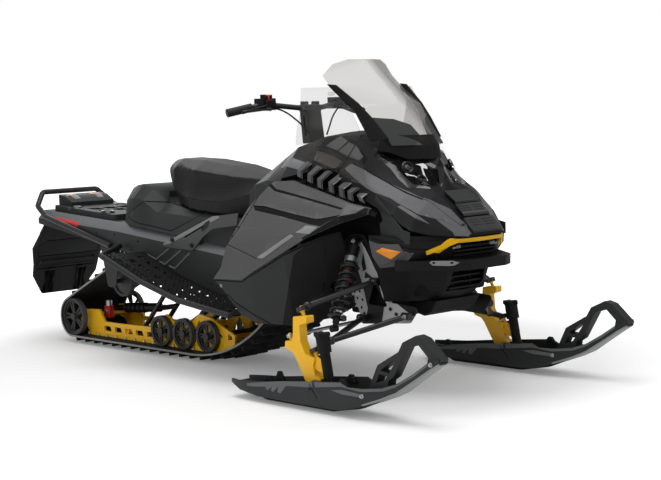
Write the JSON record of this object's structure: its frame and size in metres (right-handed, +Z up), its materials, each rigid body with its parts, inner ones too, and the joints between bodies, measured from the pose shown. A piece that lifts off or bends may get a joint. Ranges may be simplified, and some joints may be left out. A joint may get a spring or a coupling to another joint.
{
  "type": "snowmobile",
  "caption": "Trail and tour snowmobile with steered front skis on wishbones, a lugged track under a folded tunnel, tall clear windshield, seat, storage box and rear cargo rack.",
  "frame": {"origin": "on the snow, under the middle of the machine's bounding box", "axes": "+X forwards, +Y to the rider's left, +Z up"},
  "size_m": [3.0921, 1.219, 1.2841],
  "materials": {
    "track_rubber": "dull moulded rubber",
    "rail_paint": "yellow powder coat",
    "wheel_plastic": "moulded",
    "steel": "satin",
    "damper_paint": "satin",
    "tunnel_paint": "satin dark grey",
    "black_paint": "textured black",
    "flap_rubber": "moulded",
    "black_plastic": "textured",
    "panel_plastic": "satin dark grey",
    "gloss_black": "gloss",
    "seat_vinyl": "stitched vinyl",
    "strip_yellow": "gloss yellow",
    "amber": "amber lens",
    "red_lens": "red lens",
    "lamp_lens": "clear over dark",
    "clear_sheet": "clear polycarbonate",
    "cast_aluminium": "cast",
    "engine_metal": "plain block",
    "spindle_paint": "yellow powder coat",
    "rod_metal": "satin",
    "ski_plastic": "moulded dark grey",
    "grip_rubber": "ribbed"
  },
  "bodies": {
    "chassis": {"track": "track_rubber", "slide_rails": "rail_paint", "rear_idlers": "wheel_plastic", "mid_idlers": "wheel_plastic", "carrier_wheels": "wheel_plastic", "drive_axle": "steel", "slide_arms": "black_paint", "rear_damper": "damper_paint", "tunnel": "tunnel_paint", "running_board_right": "black_paint", "running_board_left": "black_paint", "rear_grab_loop": "black_paint", "snow_flap": "flap_rubber", "cargo_rack": "black_plastic", "tail_lamp": "red_lens", "seat": "seat_vinyl", "seat_box": "black_plastic", "seat_braces": "cast_aluminium", "side_panel_right": "panel_plastic", "side_panel_left": "panel_plastic", "lower_panel_right": "black_plastic", "lower_panel_left": "black_plastic", "console": "black_plastic", "dash": "gloss_black", "gill_louvers": "gloss_black", "accent_strip": "strip_yellow", "hood": "panel_plastic", "headlamps": "lamp_lens", "hood_grille": "black_plastic", "nose": "black_plastic", "nose_grille": "gloss_black", "front_bumper": "black_plastic", "belly_pan": "black_plastic", "side_markers": "amber", "windshield": "clear_sheet", "windshield_frame": "gloss_black", "wind_deflectors": "clear_sheet", "bulkhead": "cast_aluminium", "engine_block": "engine_metal", "upper_arms": "black_paint", "lower_arms": "black_paint", "front_shocks": "damper_paint"},
    "handlebar": {"handlebar": "black_paint", "grips": "grip_rubber", "controls": "black_plastic"},
    "spindle_right": {"spindle_right": "spindle_paint"},
    "spindle_left": {"spindle_left": "spindle_paint"},
    "tie_rod_right": {"tie_rod_right": "rod_metal"},
    "tie_rod_left": {"tie_rod_left": "rod_metal"},
    "ski_right": {"ski_right": "ski_plastic", "ski_loop_right": "black_plastic"},
    "ski_left": {"ski_left": "ski_plastic", "ski_loop_left": "black_plastic"}
  },
  "joints": [
    {"name": "handlebar_steer", "type": "hinge", "parent": "chassis", "child": "handlebar", "pos_m": [0.363, 0, 0.967], "axis": [-0.45, 0, 0.893], "range_deg": [-32, 32]},
    {"name": "right_spindle_steer", "type": "hinge", "parent": "chassis", "child": "spindle_right", "pos_m": [0.909, -0.5385, 0.212], "axis": [-0.3969, 0, 0.9179], "range_deg": [-27.2, 27.2]},
    {"name": "right_tie_rod_turn", "type": "hinge", "parent": "spindle_right", "child": "tie_rod_right", "pos_m": [0.77606, -0.5385, 0.25436], "axis": [-0.3969, 0, 0.9179], "range_deg": [-27.2, 27.2]},
    {"name": "right_ski_pitch", "type": "hinge", "parent": "spindle_right", "child": "ski_right", "pos_m": [0.94, -0.5385, 0.084], "axis": [0, -1, 0], "range_deg": [-10, 20]},
    {"name": "left_spindle_steer", "type": "hinge", "parent": "chassis", "child": "spindle_left", "pos_m": [0.909, 0.5385, 0.212], "axis": [-0.3969, 0, 0.9179], "range_deg": [-27.2, 27.2]},
    {"name": "left_tie_rod_turn", "type": "hinge", "parent": "spindle_left", "child": "tie_rod_left", "pos_m": [0.77606, 0.5385, 0.25436], "axis": [-0.3969, 0, 0.9179], "range_deg": [-27.2, 27.2]},
    {"name": "left_ski_pitch", "type": "hinge", "parent": "spindle_left", "child": "ski_left", "pos_m": [0.94, 0.5385, 0.084], "axis": [0, -1, 0], "range_deg": [-10, 20]}
  ],
  "couplings": [
    {"joint": "right_spindle_steer", "follows": "handlebar_steer", "ratio": 0.85},
    {"joint": "right_tie_rod_turn", "follows": "handlebar_steer", "ratio": -0.85},
    {"joint": "left_spindle_steer", "follows": "handlebar_steer", "ratio": 0.85},
    {"joint": "left_tie_rod_turn", "follows": "handlebar_steer", "ratio": -0.85}
  ]
}
